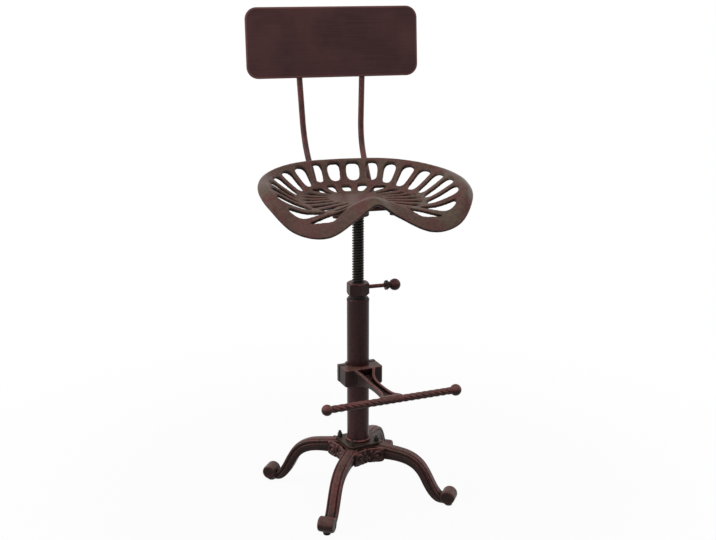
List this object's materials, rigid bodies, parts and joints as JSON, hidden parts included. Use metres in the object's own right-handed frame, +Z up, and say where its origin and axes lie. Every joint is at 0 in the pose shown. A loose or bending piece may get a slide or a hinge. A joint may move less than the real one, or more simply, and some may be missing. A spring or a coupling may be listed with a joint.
{
  "type": "tractor seat stool",
  "caption": "Screw-height stool with a pierced cast tractor seat, a low backrest on bent rods, a clamped footrest and scroll legs.",
  "frame": {"origin": "middle of the stool's extent, on the floor; the column's axis stands 22.3 mm in front of it", "axes": "+Z up, -Y towards the front of the seat, +X towards the left of the sitter"},
  "size_m": [0.3862, 0.4072, 0.9231],
  "materials": {
    "cast_paint": "satin dark oxblood paint, rubbed to copper on the high spots",
    "steel_paint": "satin dark oxblood paint",
    "black_steel": "oiled black steel",
    "foot_rubber": "matte"
  },
  "bodies": {
    "base": {"leg_front_right": "cast_paint", "leg_rear_right": "cast_paint", "leg_rear_left": "cast_paint", "leg_front_left": "cast_paint", "glide_front_right": "foot_rubber", "glide_rear_right": "foot_rubber", "glide_rear_left": "foot_rubber", "glide_front_left": "foot_rubber", "flange_stud_front_right": "black_steel", "flange_stud_rear_right": "black_steel", "flange_stud_rear_left": "black_steel", "flange_stud_front_left": "black_steel", "flange_nut_front_right": "black_steel", "flange_nut_rear_right": "black_steel", "flange_nut_rear_left": "black_steel", "flange_nut_front_left": "black_steel", "column_flange": "steel_paint", "column_tube": "steel_paint", "thread_bush": "black_steel"},
    "lock": {"lock_nut": "cast_paint", "lock_lever": "steel_paint", "lever_jam_nut": "black_steel", "lever_ball": "cast_paint"},
    "lift_guide": {"guide_washer": "black_steel"},
    "seat": {"lift_screw": "black_steel", "screw_end_nut": "black_steel", "seat_bracket": "black_steel", "seat_pan": "cast_paint", "back_rod_left": "steel_paint", "back_rod_right": "steel_paint", "backrest_plate": "steel_paint", "back_rivet_lower_left": "steel_paint", "back_rivet_upper_left": "steel_paint", "back_rivet_lower_right": "steel_paint", "back_rivet_upper_right": "steel_paint", "bracket_bolt_front_right": "black_steel", "bracket_bolt_rear_right": "black_steel", "bracket_bolt_rear_left": "black_steel", "bracket_bolt_front_left": "black_steel"},
    "footrest": {"clamp_front": "cast_paint", "clamp_back": "cast_paint", "clamp_bolt_left": "black_steel", "clamp_bolt_right": "black_steel", "footrest_bar": "steel_paint", "footrest_ball_left": "cast_paint", "footrest_ball_right": "cast_paint"}
  },
  "joints": [
    {"name": "lock_turn", "type": "hinge", "parent": "base", "child": "lock", "pos_m": [0, -0.02253, 0.4177], "axis": [0, 0, 1], "range_deg": [0, 120]},
    {"name": "seat_lift", "type": "slide", "parent": "base", "child": "lift_guide", "axis": [0, 0, 1], "range_m": [-0.12, 0.08]},
    {"name": "seat_turn", "type": "hinge", "parent": "lift_guide", "child": "seat", "pos_m": [0, -0.02253, 0.582], "axis": [0, 0, 1], "range_deg": [-8640, 5760]},
    {"name": "footrest_slide", "type": "slide", "parent": "base", "child": "footrest", "axis": [0, 0, 1], "range_m": [-0.1, 0.12]}
  ],
  "couplings": [
    {"joint": "seat_lift", "follows": "seat_turn", "m_per_rad": 0.00079577}
  ]
}
